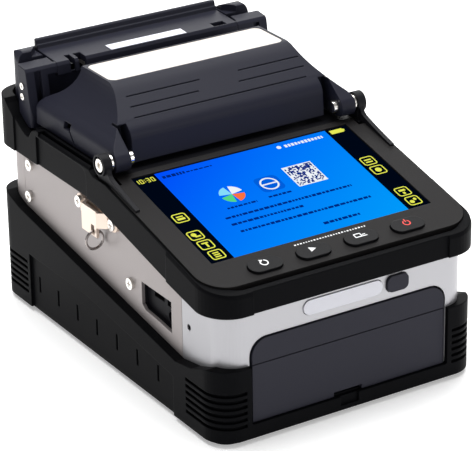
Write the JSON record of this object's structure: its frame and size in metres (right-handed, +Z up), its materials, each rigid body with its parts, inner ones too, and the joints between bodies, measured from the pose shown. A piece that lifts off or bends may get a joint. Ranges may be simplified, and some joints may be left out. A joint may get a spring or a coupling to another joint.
{
  "type": "fiber fusion splicer",
  "caption": "Portable fiber splicing machine with a tilted screen, hinged wind cover, rear tube heater, slide-in battery and rubber bumpers.",
  "frame": {"origin": "centre of the footprint on the plane the feet rest on", "axes": "+Z up, -Y out of the battery face towards the user, +X to the user's right"},
  "size_m": [0.1404, 0.1884, 0.1198],
  "materials": {
    "housing_plastic": "fine matt",
    "rubber": "matt rubber",
    "side_metal": "satin",
    "front_metal": "satin",
    "panel_plastic": "smooth matt",
    "screen": "lit display",
    "circuit_board": "solder mask",
    "key_rubber": "satin rubber",
    "battery_plastic": "fine matt",
    "contact_gold": "gold plated",
    "lamp_diffuser": "translucent white",
    "bright_steel": "bright plated",
    "ring_steel": "polished wire",
    "bracket_steel": "bright pressed",
    "cover_plastic": "satin",
    "pad_white": "smooth pale pad",
    "machined_metal": "anodised grey",
    "ceramic": "white ceramic",
    "label_white": "paper label"
  },
  "bodies": {
    "base": {"chassis": "housing_plastic", "boot": "rubber", "feet": "rubber", "side_plate_left": "side_metal", "side_plate_right": "side_metal", "front_wrap": "front_metal", "rear_panel": "side_metal", "top_shell": "housing_plastic", "bumper": "rubber", "bezel": "panel_plastic", "lcd_module": "screen", "key_board": "circuit_board", "battery_contacts": "contact_gold", "led_bar": "lamp_diffuser", "port_block": "housing_plastic", "main_board": "circuit_board", "side_screws": "bright_steel", "wrap_screws": "housing_plastic", "bracket_left": "bracket_steel", "bracket_right": "bracket_steel", "bracket_screws": "bright_steel", "hinge_brackets": "housing_plastic", "hinge_pins": "bright_steel", "hinge_washers": "bright_steel", "splice_base": "machined_metal", "v_groove": "ceramic", "electrodes": "bright_steel", "electrode_blocks": "housing_plastic", "electrode_screws": "bright_steel", "microscopes": "machined_metal", "rear_housing": "cover_plastic", "housing_screws": "bright_steel", "heater_tray": "machined_metal", "heater_pin": "bright_steel"},
    "cover": {"wind_cover": "cover_plastic", "cover_strip": "pad_white"},
    "heater_cover": {"heater_lid": "cover_plastic", "heater_pads": "pad_white", "heater_label": "label_white"},
    "reset_key": {"key_reset": "key_rubber"},
    "run_key": {"key_run": "key_rubber"},
    "view_key": {"key_view": "key_rubber"},
    "power_key": {"key_power": "key_rubber"},
    "battery_pack": {"battery": "battery_plastic"},
    "latch_button": {"battery_latch": "battery_plastic"},
    "left_stage": {"stage_left": "machined_metal", "fiber_holder_left": "machined_metal", "holder_pin_left": "bright_steel"},
    "right_stage": {"stage_right": "machined_metal", "fiber_holder_right": "machined_metal", "holder_pin_right": "bright_steel"},
    "left_holder_lid": {"holder_lid_left": "cover_plastic"},
    "right_holder_lid": {"holder_lid_right": "cover_plastic"},
    "left_ring": {"strap_ring_left": "ring_steel"},
    "right_ring": {"strap_ring_right": "ring_steel"}
  },
  "joints": [
    {"name": "wind_cover_hinge", "type": "hinge", "parent": "base", "child": "cover", "pos_m": [0, -0.0035, 0.095], "axis": [1, 0, 0], "range_deg": [0, 100]},
    {"name": "heater_lid_hinge", "type": "hinge", "parent": "base", "child": "heater_cover", "pos_m": [0, 0.0875, 0.1136], "axis": [-1, 0, 0], "range_deg": [0, 95]},
    {"name": "reset_key_press", "type": "slide", "parent": "base", "child": "reset_key", "axis": [0, 0.225, -0.9744], "range_m": [0, 0.0009], "stiffness_N_per_m": 400},
    {"name": "run_key_press", "type": "slide", "parent": "base", "child": "run_key", "axis": [0, 0.225, -0.9744], "range_m": [0, 0.0009], "stiffness_N_per_m": 400},
    {"name": "view_key_press", "type": "slide", "parent": "base", "child": "view_key", "axis": [0, 0.225, -0.9744], "range_m": [0, 0.0009], "stiffness_N_per_m": 400},
    {"name": "power_key_press", "type": "slide", "parent": "base", "child": "power_key", "axis": [0, 0.225, -0.9744], "range_m": [0, 0.0009], "stiffness_N_per_m": 400},
    {"name": "battery_slide", "type": "slide", "parent": "base", "child": "battery_pack", "axis": [0, -1, 0], "range_m": [0, 0.115]},
    {"name": "latch_press", "type": "slide", "parent": "base", "child": "latch_button", "axis": [0, 1, 0], "range_m": [0, 0.0015], "stiffness_N_per_m": 400},
    {"name": "left_stage_slide", "type": "slide", "parent": "base", "child": "left_stage", "axis": [1, 0, 0], "range_m": [0, 0.003]},
    {"name": "left_holder_lid_hinge", "type": "hinge", "parent": "left_stage", "child": "left_holder_lid", "pos_m": [-0.0305, 0.0432, 0.0978], "axis": [-1, 0, 0], "range_deg": [0, 80]},
    {"name": "left_ring_swing", "type": "hinge", "parent": "base", "child": "left_ring", "pos_m": [-0.0655, 0.0035, 0.061], "axis": [0, 1, 0], "range_deg": [0, 90]},
    {"name": "right_stage_slide", "type": "slide", "parent": "base", "child": "right_stage", "axis": [-1, 0, 0], "range_m": [0, 0.003]},
    {"name": "right_holder_lid_hinge", "type": "hinge", "parent": "right_stage", "child": "right_holder_lid", "pos_m": [0.0305, 0.0432, 0.0978], "axis": [-1, 0, 0], "range_deg": [0, 80]},
    {"name": "right_ring_swing", "type": "hinge", "parent": "base", "child": "right_ring", "pos_m": [0.0655, 0.0035, 0.061], "axis": [0, -1, 0], "range_deg": [0, 90]}
  ]
}
